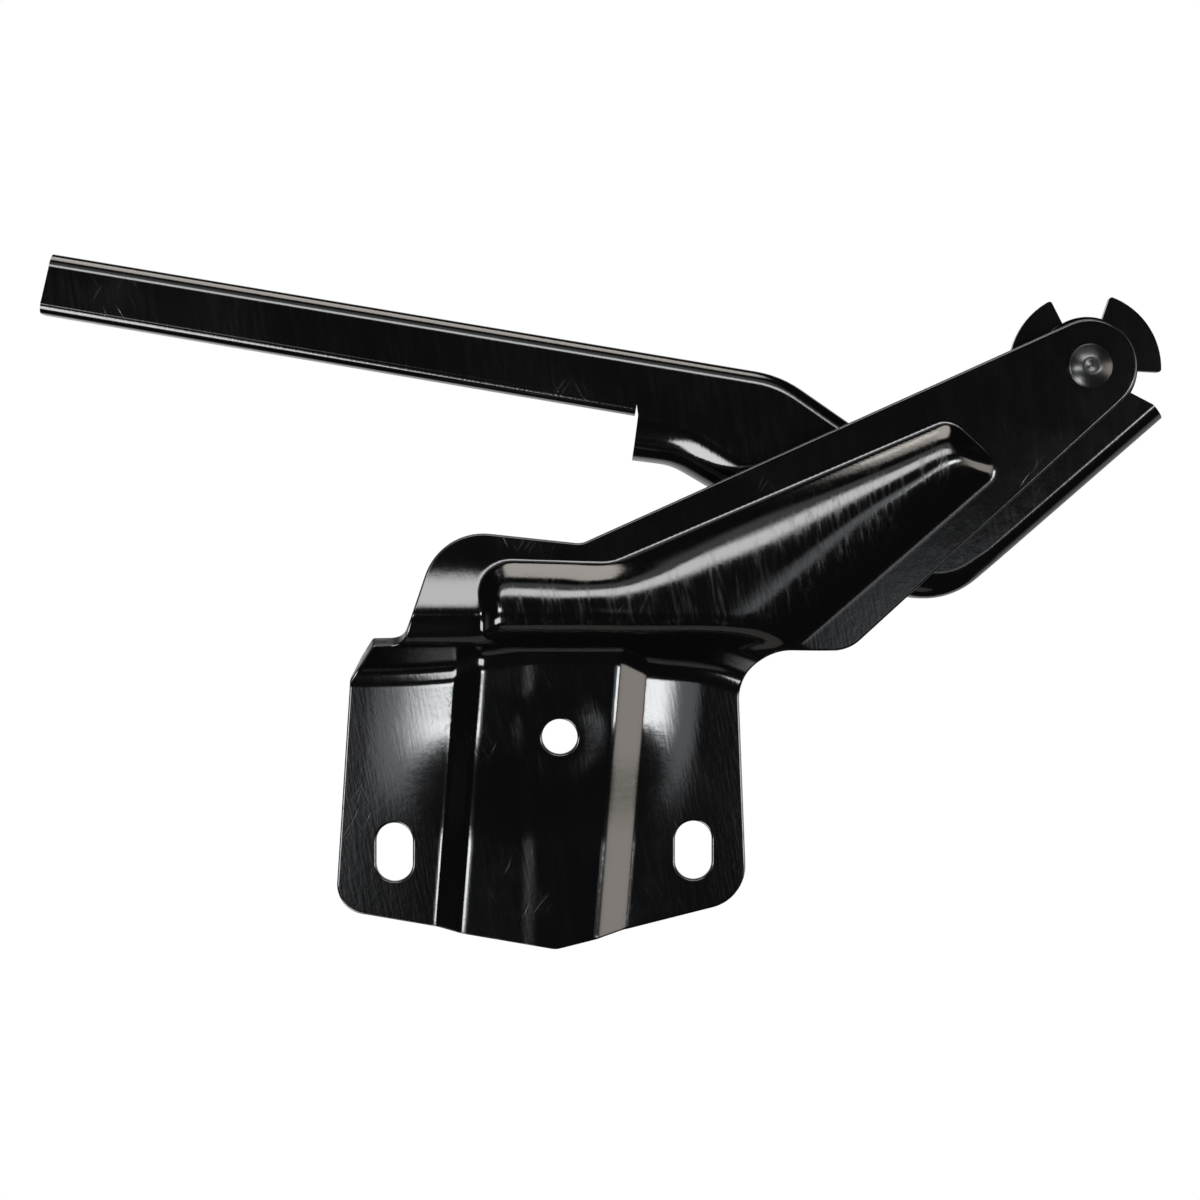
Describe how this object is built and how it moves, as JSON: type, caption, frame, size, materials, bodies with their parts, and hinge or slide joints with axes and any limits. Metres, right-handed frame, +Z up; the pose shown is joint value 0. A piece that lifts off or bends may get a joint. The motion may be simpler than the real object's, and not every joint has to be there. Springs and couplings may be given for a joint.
{
  "type": "bonnet hinge",
  "caption": "Pressed steel bonnet hinge: a ribbed body bracket riveted to a swinging gooseneck bonnet arm of channel section.",
  "frame": {"origin": "on the back face of the mounting pad nearer the pivot, above its slot", "axes": "+Y out of the pads' back face into the car body, +Z up, +X along the car from the bonnet arm's free end to the pivot"},
  "size_m": [0.3319, 0.037, 0.2062],
  "materials": {
    "bracket_paint": "gloss black electro-coat",
    "arm_paint": "gloss black electro-coat",
    "stop_paint": "gloss black electro-coat",
    "rivet_paint": "gloss black electro-coat over steel",
    "washer_steel": "plated, satin",
    "bush_bronze": "sintered bronze, dull"
  },
  "bodies": {
    "bracket": {"body_bracket": "bracket_paint", "pivot_rivet": "rivet_paint", "thrust_washer": "washer_steel", "stop_disc": "stop_paint", "rear_washer": "washer_steel"},
    "arm": {"hood_arm": "arm_paint", "pivot_bush": "bush_bronze"}
  },
  "joints": [
    {"name": "arm_pivot", "type": "hinge", "parent": "bracket", "child": "arm", "pos_m": [0.1156, -0.014, 0.118], "axis": [0, 1, 0], "range_deg": [0, 50]}
  ]
}
